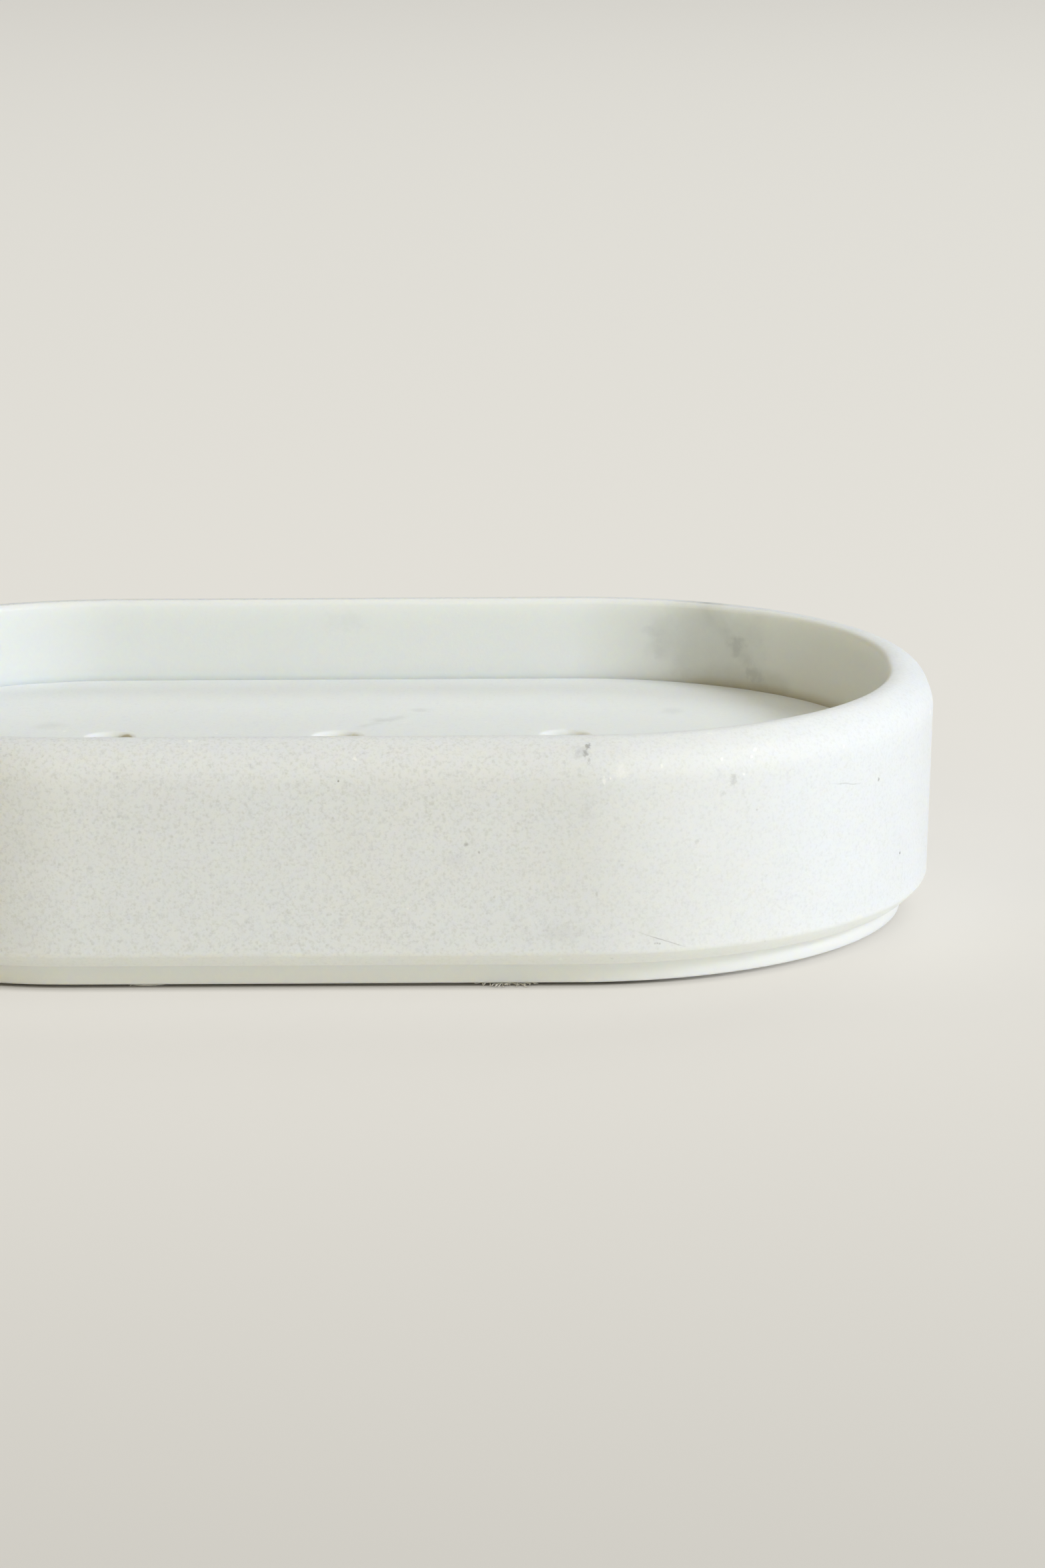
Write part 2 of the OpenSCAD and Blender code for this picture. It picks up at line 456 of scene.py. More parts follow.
def marbleMaterial(name, stone):
    material, tree, shader = newMaterial(name, {
        "IOR": 1.5, "Specular IOR Level": stone["sheen"], "Subsurface Weight": stone["glow"],
        "Subsurface Radius": stone["glowTint"], "Subsurface Scale": stone["glowDepth"] * mm,
    })
    link = tree.links.new
    point = millimetrePoint(tree)

    drift = groupNode(tree, "drift", point, {
        "Base": stone["base"], "Warm": stone["warm"], "Grey": stone["grey"], "Mottle": stone["mottle"],
        "Cloud Size": stone["cloudSize"], "Mottle Size": stone["mottleSize"],
        "Warm Share": stone["warmShare"], "Grey Share": stone["greyShare"],
        "Mottle Share": stone["mottleShare"],
    })
    colour = drift.outputs["Colour"]
    rubbed = groupNode(tree, "rubbed", point, {
        "Facing": addNode(tree, "ShaderNodeTexCoord").outputs["Normal"],
        "Foot Top": stone["footTop"], "Lip Height": stone["lipHeight"], "Tray Floor": stone["trayFloor"],
    })
    smoother = mathNode(tree, "MAXIMUM", rubbed.outputs["Inside"], rubbed.outputs["Foot"])
    kept = mathNode(tree, "SUBTRACT", 1.0, mathNode(tree, "MULTIPLY", smoother, stone["rubbed"]))
    spot = addNode(tree, "ShaderNodeSeparateXYZ", {0: point})
    thinnest = 1.0 - stone["evenShare"]
    thinner = rampNode(tree, spot.outputs["X"], *stone["evenAlong"], low=1.0, high=thinnest)
    grainy = mathNode(tree, "MULTIPLY", kept, thinner)
    for size, share, fill, strength in stone["grains"]:
        grain = groupNode(tree, "speckle", point, {"Grain Size": size, "Share": share, "Fill": fill})
        amount = mathNode(tree, "MULTIPLY", grainy, strength)
        colour = layOver(tree, colour, grain.outputs["Mask"], amount, stone["grainShade"])
    dust = addNode(tree, "ShaderNodeTexNoise", {
        "Scale": 1 / stone["dustSize"], "Detail": 3.0, "Roughness": 0.65, "Vector": point,
    })
    dusty = rampNode(tree, dust.outputs["Fac"], *fades["dust"], smooth=False)
    amount = mathNode(tree, "MULTIPLY", grainy, stone["dust"])
    colour = layOver(tree, colour, dusty, amount, stone["grainShade"])
    for centre, reach, tear, strength, shade in stone["patches"]:
        patch = groupNode(tree, "patch", point, {
            "Centre": centre, "Reach": reach, "Tear Size": tear, "Torn": stone["torn"],
        })
        colour = layOver(tree, colour, patch.outputs["Mask"], strength, stone[shade])
    for through, across, reach, thickness, wander, strength in stone["veins"]:
        vein = groupNode(tree, "vein", point, {
            "Through": through, "Facing": Vector(across).normalized(), "Reach": reach,
            "Thickness": thickness, "Wander": wander,
        })
        colour = layOver(tree, colour, vein.outputs["Mask"], strength, stone["veinShade"])
    size, share, fill, strength = stone["glints"]
    glint = groupNode(tree, "speckle", point, {"Grain Size": size, "Share": share, "Fill": fill})
    colour = layOver(tree, colour, glint.outputs["Mask"], strength, stone["glintShade"])
    # painted light on the lip's bevel, which faces down into shade
    colour = layOver(tree, colour, rubbed.outputs["Lip"], stone["lipPaintedLight"], stone["lipPaintedLightTone"])
    # painted light on the foot, which stands in the shade under the lip; the grain thinned there above is
    # its smoother finish
    colour = layOver(tree, colour, rubbed.outputs["Foot"], stone["footPaintedLight"], stone["footPaintedLightTone"])
    # painted light on the walls that face the middle of the dish
    colour = layOver(tree, colour, rubbed.outputs["Inside"], stone["insidePaintedLight"], stone["insidePaintedLightTone"])
    # painted light and shade along the foot of the inner wall, where it meets the plate
    for along, strength, shade in stone["wallFootPaintedLightAndShade"]:
        amount = mathNode(tree, "MULTIPLY", rampNode(tree, spot.outputs["X"], *along), strength)
        colour = layOver(tree, colour, rubbed.outputs["Wall Foot"], amount, shade)
    link(colour, shader.inputs["Base Color"])

    crystals = groupNode(tree, "speckle", point, {
        "Grain Size": stone["crystalSize"], "Share": 1.0, "Fill": 0.5,
    })
    height = crystals.outputs["Height"]
    least, most = stone["roughness"]
    rough = rampNode(tree, height, 0.0, 1.0, smooth=False, low=least, high=most)
    polished = mathNode(tree, "MULTIPLY", glint.outputs["Mask"], stone["glintPolish"])
    link(mathNode(tree, "SUBTRACT", rough, polished), shader.inputs["Roughness"])
    stepped = mathNode(tree, "MULTIPLY", height, stone["crystalStep"])
    domed = mathNode(tree, "MULTIPLY", crystals.outputs["Mask"], 1.0 - stone["crystalStep"])
    relief = mathNode(tree, "ADD", stepped, domed)
    bump = addNode(tree, "ShaderNodeBump", {
        "Strength": stone["bumpStrength"], "Distance": stone["bumpDepth"] * mm, "Height": relief,
    })
    link(bump.outputs[0], shader.inputs["Normal"])
    return material


def feltMaterial(felt):
    material, tree, shader = newMaterial("whiteFelt", {
        "Sheen Weight": felt["sheen"], "Specular IOR Level": felt["gloss"],
    })
    link = tree.links.new
    strands = addNode(tree, "ShaderNodeTexNoise", {
        "Scale": felt["strandScale"], "Detail": 6.0, "Roughness": 0.7, "Distortion": 2.0,
        "Vector": millimetrePoint(tree),
    })
    shade = addNode(tree, "ShaderNodeMix", {
        "Factor": strands.outputs["Fac"], "A": felt["light"], "B": felt["dark"],
    }, data_type="RGBA")
    link(shade.outputs["Result"], shader.inputs["Base Color"])
    least, most = felt["roughness"]
    rough = rampNode(tree, strands.outputs["Fac"], 0.0, 1.0, smooth=False, low=least, high=most)
    link(rough, shader.inputs["Roughness"])
    bump = addNode(tree, "ShaderNodeBump", {
        "Strength": felt["bumpStrength"], "Distance": felt["bumpDepth"] * mm,
        "Height": strands.outputs["Fac"],
    })
    link(bump.outputs[0], shader.inputs["Normal"])
    return material


# The marble bowl

bowl = {
    "endFlat": 5.0,          # straight run at each end, between the corners
    "wall": 5.7,
    "sideDraft": 0.6,        # how far the wall leans in on its way down
    "rimRound": 4.5,
    "rimInnerRound": 0.8,
    "footHeight": 2.7,
    "footInset": 3.9,
    "lipBevel": 1.7,         # the bevel that hangs over the foot
    "lipEase": 1.1,          # its softened upper edge
    "lipEdge": 0.2,          # and its crisper lower one
    "footRound": 0.3,
    "ledgeWidth": 4.0,
    "ledgeEase": 0.3,        # softened edge of the ledge
    "basinFloor": 4.5,
    "basinRound": 2.5,
    "capInset": 30.0,
    "stepsRound": 480,
    "sharpAbove": 32,        # degrees between two faces that make a hard edge
}
bowlStone = {
    "base": tone(232, 236, 240),
    "warm": tone(232, 233, 230),
    "grey": tone(218, 221, 222),
    "mottle": tone(222, 225, 225),
    "cloudSize": 34.0,
    "mottleSize": 3.2,
    "warmShare": 0.3,
    "greyShare": 0.15,
    "mottleShare": 0.08,
    "grains": [                # size, share, fill, strength
        (0.42, 0.5, 0.5, 0.20),
        (0.85, 0.25, 0.34, 0.12),
        (1.7, 0.07, 0.2, 0.20),
    ],
    "grainShade": tone(184, 187, 184),
    "dustSize": 0.45,          # an even peppering between the grains
    "dust": 0.36,
    "torn": 3.0,               # how ragged the patches are
    "patches": [               # centre, reach, tear, strength, shade
        # the first two are painted shadow over the inside of the right end, where the rim keeps the light
        # off the wall
        ((48.6, 37.3, 23.8), (11.5, 11, 11.0), 14.0, 0.46, "paintedShadowShade"),
        ((53.5, 34.3, 20.6), (9.0, 9, 2.8), 12.0, 0.50, "paintedShadowShade"),
        ((44.6, 39.0, 24.8), (5.5, 5, 5.5), 3.6, 0.18, "cloudShade"),
        ((48.0, 37.5, 28.4), (3.2, 3, 2.2), 2.6, 0.16, "cloudShade"),
        ((40.7, 40.3, 26.3), (1.8, 3, 1.0), 1.8, 0.24, "cloudShade"),
        ((41.6, 40.0, 24.0), (1.0, 3, 1.9), 1.8, 0.24, "cloudShade"),
        ((45.2, 38.8, 20.8), (2.0, 3, 1.0), 1.6, 0.32, "cloudShade"),
        ((51.9, 35.2, 25.3), (1.8, 2.5, 1.7), 1.6, 0.80, "veinCore"),
        ((54.2, 33.5, 21.8), (1.6, 2.5, 1.7), 1.4, 0.75, "veinCore"),
        ((55.2, 32.7, 20.2), (1.6, 2.5, 0.8), 1.2, 0.42, "cloudShade"),
        ((-0.4, 41.5, 27.2), (3.5, 4, 2.2), 2.0, 0.16, "cloudShade"),
        ((31.2, -45.4, 29.7), (0.42, 0.9, 0.7), 0.35, 0.50, "spotShade"),
        ((30.9, -46.3, 29.0), (0.40, 0.9, 0.6), 0.35, 0.40, "spotShade"),
        ((31.3, -46.9, 28.2), (0.28, 0.9, 0.5), 0.35, 0.26, "spotShade"),
        ((30.5, -46.0, 29.2), (1.2, 1.6, 1.3), 0.5, 0.18, "cloudShade"),
        ((33.1, -47.4, 25.9), (0.22, 0.8, 0.7), 0.4, 0.70, "glintShade"),
        ((33.8, -47.3, 26.2), (0.16, 0.8, 0.2), 0.4, 0.90, "glintShade"),
        ((35.0, -47.1, 27.0), (1.2, 1.5, 1.3), 1.0, 0.35, "glintShade"),
        ((47.0, -43.8, 27.7), (0.26, 0.8, 0.3), 0.4, 0.80, "glintShade"),
        ((51.1, -41.5, 28.3), (0.34, 0.8, 0.3), 0.4, 0.80, "glintShade"),
        ((50.6, -42.1, 27.6), (0.26, 0.8, 0.25), 0.4, 0.80, "glintShade"),
        ((49.7, -42.9, 25.6), (0.22, 0.8, 0.25), 0.4, 0.80, "glintShade"),
        ((48.4, -43.5, 25.2), (0.55, 1.2, 1.0), 0.7, 0.24, "spotShade"),
        ((47.2, -44.0, 23.5), (0.5, 1.2, 0.5), 0.7, 0.16, "spotShade"),
        ((47.0, -44.1, 26.0), (0.8, 1.2, 0.8), 0.8, 0.09, "cloudShade"),
        ((31.0, -47.2, 22.5), (1.3, 2, 2.3), 1.0, 0.06, "cloudShade"),
        ((15.7, -47.2, 16.2), (1.5, 2, 1.4), 1.0, 0.08, "cloudShade"),
        ((16.8, -47.3, 18.3), (0.30, 1, 0.35), 0.4, 0.36, "spotShade"),
        ((18.3, -47.3, 17.3), (0.18, 1, 0.36), 0.4, 0.40, "spotShade"),
        ((28.5, -47.0, 7.6), (3.4, 3, 1.6), 1.6, 0.08, "cloudShade"),
        ((51.3, -42.0, 21.1), (0.22, 1, 0.24), 0.4, 0.24, "spotShade"),
        ((44.1, -45.0, 18.0), (0.5, 1, 0.3), 0.6, 0.18, "spotShade"),
        ((32.2, -47.1, 12.1), (0.24, 1, 0.44), 0.5, 0.34, "grainShade"),
        ((66.6, -28.4, 21.6), (0.18, 0.8, 0.32), 0.4, 0.60, "spotShade"),
        ((69.7, -22.8, 11.1), (0.16, 0.8, 0.28), 0.4, 0.65, "spotShade"),
        ((39.4, -45.8, 5.8), (0.5, 1.2, 0.2), 0.4, 0.65, "spotShade"),
        ((34.0, -46.2, 4.0), (0.32, 1.5, 0.2), 0.4, 0.50, "spotShade"),
        ((52.4, -40.4, 4.6), (0.14, 1, 0.2), 0.4, 0.70, "spotShade"),
        ((1.9, -47.3, 26.1), (0.16, 0.8, 0.2), 0.4, 0.70, "spotShade"),
        ((-38.6, -46.0, 27.6), (0.22, 1, 0.25), 0.4, 0.50, "spotShade"),
    ],
    "cloudShade": tone(158, 159, 163),
    # the tone of that painted shadow
    "paintedShadowShade": tone(156, 154, 142),
    "veinCore": tone(132, 134, 136),
    "spotShade": tone(120, 120, 116),
    "veins": [                 # through, across, reach, thickness, wander, strength
        ((51.8, 35.6, 25.3), (-0.59, 0.39, -0.70), 10.5, 1.7, 5.0, 0.55),
        ((-24.0, 60.0, 14.0), (0.72, 0.1, 0.68), 20.0, 1.5, 7.0, 0.42),
        ((-86.0, 12.0, 16.0), (0.1, 0.62, 0.78), 19.0, 1.3, 6.0, 0.38),
        ((62.4, -33.5, 22.3), (0.1, 0.1, 1.0), 3.4, 0.11, 1.4, 0.40),
        ((39.8, -45.8, 6.3), (0.35, 0.0, 0.94), 4.0, 0.10, 0.8, 0.45),
        ((63.9, -25.8, 1.5), (0.57, 0.82, 0.0), 2.0, 0.09, 0.3, 0.45),
    ],
    "veinShade": tone(124, 126, 126),
    "glints": (1.5, 0.02, 0.22, 0.8),
    "glintShade": tone(250, 252, 251),
    # painted light that lifts the lip's bevel out of its shade
    "lipPaintedLight": 0.6,
    "lipPaintedLightTone": tone(240, 243, 240),
    # painted light on the foot, which stands in the shade under the lip
    "footPaintedLight": 0.85,
    "footPaintedLightTone": tone(242, 244, 241),
    "wallFootPaintedLightAndShade": [                 # from and to along X, strength, shade: painted light along the inner wall's foot at the left end, painted shade along it at the right end
        ((42.0, 12.0), 0.75, tone(240, 249, 255)),
        ((40.0, 52.0), 0.25, tone(190, 170, 130)),
    ],
    "rubbed": 0.8,             # how much of the grain is gone where the stone is rubbed smoother
    # painted light on the walls that face the middle of the dish
    "insidePaintedLight": 0.6,
    "insidePaintedLightTone": tone(241, 246, 247),
    "evenAlong": (12.0, 48.0),  # the grain also thins out along the dish between these
    "evenShare": 0.45,
    "crystalSize": 0.45,
    "crystalStep": 0.3,        # share of the relief that is whole crystals standing higher
    "glintPolish": 0.2,        # how much smoother a bright crystal is
    "roughness": (0.48, 0.62),
    "bumpStrength": 0.35,
    "bumpDepth": 0.02,
    "sheen": 0.25,
    "glow": 0.9,
    "glowDepth": 2.0,
    "glowTint": (1.0, 0.88, 0.62),
}

low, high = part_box("bowl")
padThickness = low.z / mm
bowlLength = (high.x - low.x) / mm
bowlWidth = (high.y - low.y) / mm
bowlHeight = (high.z - low.z) / mm
cornerRadius = (bowlWidth - bowl["endFlat"]) / 2
plateLow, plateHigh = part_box("drain_plate")
plateTop = plateHigh.z / mm
plateBottom = plateLow.z / mm


def bowlSection():
    # from the middle of the underside, out and up over the rim, and down into the basin
    base = padThickness
    rimTop = base + bowlHeight
    footTop = base + bowl["footHeight"]
    lipTop = footTop + bowl["lipBevel"]
    ease = bowl["lipEase"]
    edge = bowl["lipEdge"]
    easeRun = ease * math.tan(math.radians(22.5))   # how much of each side a softened edge takes up
    edgeRun = edge * math.tan(math.radians(22.5))
    footIn = bowl["footInset"] + bowl["footRound"]
    rimSide = rimTop - bowl["rimRound"]
    innerIn = bowl["wall"] - bowl["rimInnerRound"]
    ledgeEnd = bowl["wall"] + bowl["ledgeWidth"]
    ledge = bowl["ledgeEase"]
    floorTop = base + bowl["basinFloor"]
    basinIn = ledgeEnd + bowl["basinRound"]
    points = [(bowl["capInset"], base)]
    points += arc(footIn, base + bowl["footRound"], bowl["footRound"], 270, 180, 6)
    points += [(bowl["footInset"], footTop)]
    points += arc(bowl["sideDraft"] + bowl["lipBevel"] + edgeRun, footTop + edge, edge, 270, 225, 4)
    points += arc(bowl["sideDraft"] + ease, lipTop + easeRun, ease, 225, 180, 8)
    points += straight((bowl["sideDraft"], lipTop + easeRun), (0, rimSide), 14)
    points += arc(bowl["rimRound"], rimSide, bowl["rimRound"], 180, 90, 20)
    points += arc(innerIn, rimTop - bowl["rimInnerRound"], bowl["rimInnerRound"], 90, 0, 10)
    points += straight((bowl["wall"], rimTop - bowl["rimInnerRound"]), (bowl["wall"], plateBottom), 8)
    points += [(bowl["wall"], plateBottom)]
    points += arc(ledgeEnd - ledge, plateBottom - ledge, ledge, 90, 0, 4)
    points += arc(basinIn, floorTop + bowl["basinRound"], bowl["basinRound"], 180, 270, 10)
    points += [(bowl["capInset"], floorTop)]
    return [(inset * mm, height * mm) for inset, height in points]


carrySection = sectionTree()
bowlStone["footTop"] = padThickness + bowl["footHeight"]
bowlStone["lipHeight"] = bowl["lipBevel"]
bowlStone["trayFloor"] = plateTop
bowlMarble = marbleMaterial("honedMarbleBowl", bowlStone)
bowlPiece = sectionObject("marbleBowl", bowlSection())
runTree(bowlPiece, carrySection, {
    "Length": bowlLength * mm,
    "Width": bowlWidth * mm,
    "Corner Radius": cornerRadius * mm,
    "Steps Round": bowl["stepsRound"],
    "Cap Inset": bowl["capInset"] * mm,
    "Upper Cap": (padThickness + bowl["basinFloor"]) * mm,
    "Lower Cap": padThickness * mm,
    "Material": bowlMarble,
})
smoothBelow(bowlPiece, bowl["sharpAbove"])
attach(bowlPiece, "dish")
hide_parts("bowl")
print("bowl made:", len(bowlPiece.data.polygons), "faces")


# The drain plate, cut by its row of slots

plate = {
    "edgeRound": 0.3,
    "capInset": 12.0,
    "stepsRound": 440,
    "sharpAbove": 32,
    "slotCount": 3,
    "slotPitch": 29.0,
    "slotWidth": 5.4,
    "slotLength": 17.4,
    "slotRound": 0.8,        # softened mouth
    "slotCornerSteps": 16,
    "slotStepsRound": 96,
    "cutPast": 1.0,
}
slotCore = plate["slotWidth"] / 4    # how far in the cutter's ends are closed


def slotPaintedLightAndShade():
    # inside each slot's far end, painted shade makes the right side tan and painted light makes the left
    # side bright
    patches = []
    for number in range(plate["slotCount"]):
        middle = (number - (plate["slotCount"] - 1) / 2) * plate["slotPitch"]
        patches += [
            ((middle + 2.0, 7.6, 18.5), (2.0, 2.6, 1.3), 3.0, 3.0, "slotPaintedShade"),
            ((middle - 2.2, 7.8, 18.5), (2.4, 2.6, 1.3), 3.0, 1.6, "glintShade"),
        ]
    return patches


plateStone = dict(
    bowlStone,
    base=tone(236, 241, 243),
    warm=tone(234, 237, 235),
    warmShare=0.05,
    greyShare=0.02,
    mottleShare=0.02,
    grains=[(0.5, 0.5, 0.5, 0.08), (1.4, 0.1, 0.24, 0.05)],
    dust=0.06,
    torn=1.0,
    patches=[
        ((-37.3, 12.8, 19.8), (3.0, 3.4, 3), 1.8, 0.12, "cloudShade"),
        ((5.0, 15.4, 19.8), (1.6, 1.8, 3), 1.2, 0.16, "cloudShade"),
        ((10.2, 21.4, 19.8), (1.8, 1.8, 3), 1.2, 0.16, "cloudShade"),
        ((43.0, 20.0, 19.8), (2.2, 3.0, 3), 1.2, 0.12, "cloudShade"),
    ] + slotPaintedLightAndShade(),
    # the painted shade inside the slots' far ends
    slotPaintedShade=tone(184, 177, 158),
    veins=[((5.6, 14.5, 19.8), (0.763, -0.646, 0.0), 7.0, 1.3, 3.0, 0.18)],
    footTop=-10.0,
    footPaintedLight=0.0,
    wallFootPaintedLightAndShade=[],
)


def plateSection():
    inset = plateInset
    edge = plate["edgeRound"]
    points = [(inset + plate["capInset"], plateBottom)]
    points += arc(inset + edge, plateBottom + edge, edge, 270, 180, 6)
    points += arc(inset + edge, plateTop - edge, edge, 180, 90, 6)
    points += [(inset + plate["capInset"], plateTop)]
    return [(x * mm, y * mm) for x, y in points]


def slotSection():
    # the cutter's section: straight up, then flaring out over the softened mouth
    flare = plate["slotRound"]
    points = [(slotCore, plateBottom - plate["cutPast"]), (0, plateBottom - plate["cutPast"])]
    points += arc(-flare, plateTop - flare, flare, 0, 90, 8)
    points += [(-flare, plateTop + plate["cutPast"]), (slotCore, plateTop + plate["cutPast"])]
    return [(x * mm, y * mm) for x, y in points]


def slotRowTree():
    tree, given, made = newTree(
        "cutSlotRow", "GeometryNodeTree",
        [
            ("Plate", "Geometry", None),
            ("Cutter", "Object", None),
            ("Count", "Int", 3),
            ("Pitch", "Float", 0.03),
            ("Material", "Material", None),
        ],
        [("Mesh", "Geometry")],
    )
    gaps = mathNode(tree, "SUBTRACT", given["Count"], 1.0)
    halfRow = mathNode(tree, "MULTIPLY", mathNode(tree, "MULTIPLY", gaps, given["Pitch"]), -0.5)
    first = addNode(tree, "ShaderNodeCombineXYZ", {"X": halfRow})
    step = addNode(tree, "ShaderNodeCombineXYZ", {"X": given["Pitch"]})
    row = addNode(tree, "GeometryNodeMeshLine", {
        "Count": given["Count"], "Start Location": first.outputs[0],
        "Offset": step.outputs[0],
    }, mode="OFFSET")
    cutter = addNode(tree, "GeometryNodeObjectInfo", {"Object": given["Cutter"]})
    placed = addNode(tree, "GeometryNodeInstanceOnPoints", {
        "Points": row.outputs[0], "Instance": cutter.outputs["Geometry"],
    })
    cutters = addNode(tree, "GeometryNodeRealizeInstances", {"Geometry": placed.outputs[0]})
    cut = addNode(tree, "GeometryNodeMeshBoolean", {
        "Mesh 1": given["Plate"], "Mesh 2": cutters.outputs[0],
    }, operation="DIFFERENCE", solver="EXACT")
    return finishTree(tree, given, made, cut.outputs["Mesh"])


plateInset = (plateLow.x - low.x) / mm
plateMarble = marbleMaterial("honedMarblePlate", plateStone)
platePiece = sectionObject("drainPlate", plateSection())
runTree(platePiece, carrySection, {
    "Length": bowlLength * mm,
    "Width": bowlWidth * mm,
    "Corner Radius": cornerRadius * mm,
    "Steps Round": plate["stepsRound"],
    "Cap Inset": (plateInset + plate["capInset"]) * mm,
    "Upper Cap": plateTop * mm,
    "Lower Cap": plateBottom * mm,
    "Material": plateMarble,
})
cutter = sectionObject("slotCutter", slotSection())
runTree(cutter, carrySection, {
    "Length": plate["slotWidth"] * mm,
    "Width": plate["slotLength"] * mm,
    "Corner Radius": plate["slotWidth"] / 2 * mm,
    "Corner Steps": plate["slotCornerSteps"],
    "Steps Round": plate["slotStepsRound"],
    "Cap Inset": slotCore * mm,
    "Upper Cap": (plateTop + plate["cutPast"]) * mm,
    "Lower Cap": (plateBottom - plate["cutPast"]) * mm,
    "Material": plateMarble,
})
runTree(platePiece, slotRowTree(), {
    "Cutter": cutter,
    "Count": plate["slotCount"],
    "Pitch": plate["slotPitch"] * mm,
    "Material": plateMarble,
})
bpy.data.objects.remove(cutter)
smoothBelow(platePiece, plate["sharpAbove"])
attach(platePiece, "drain_plate")
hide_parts("drain_plate")
print("drain plate made:", len(platePiece.data.polygons), "faces")


# The felt pads

felt = {
    "light": tone(252, 251, 247),
    "dark": tone(230, 226, 216),
    "sheen": 0.4,
    "gloss": 0.2,
    "strandScale": 6.0,      # waves of shade to a millimetre
    "roughness": (0.8, 1.0),
    "bumpStrength": 0.7,
    "bumpDepth": 0.1,
    "sides": 160,
    "rims": 5,               # bands up the side
    "sharpAbove": 50,
    "fuzz": 0.06,            # how far the cut edge is uneven
    "fuzzScale": 1800.0,     # tufts to a metre
    "hairWidth": 0.09,
    "hairSides": 5,
    "rootDepth": 0.93,       # hairs start at this share of the radius
    "rootHeight": (-0.3, 0.3),       # and this share of the thickness off its middle
    "rise": (-0.16, 0.12),   # a hair leans up or down by this, in radians
    "fan": (-0.9, 0.9),      # and to a side
    "sweepSpan": 0.42,       # share of the full circle that swept hairs start from
    "mostlyShort": 2.2,      # a higher power leaves fewer long hairs
    "shortest": 0.15,        # added to each hair, as a share of the hair length
    "curl": 0.4,             # how far a hair bends, as a share of the hair length
    "curlScale": 900.0,      # bends to a metre
    "tipBend": 1.5,          # a higher power keeps the bend nearer the tip
    "hairSteps": 7,
    "seed": 3,
}
wear = {                     # hairs, hair length, and how far they sweep towards the front
    "felt_pad_front_left": (90, 0.9, 0.0),
    "felt_pad_front_right": (170, 2.3, 1.0),
    "felt_pad_back_left": (90, 0.9, 0.0),
    "felt_pad_back_right": (90, 0.9, 0.0),
}


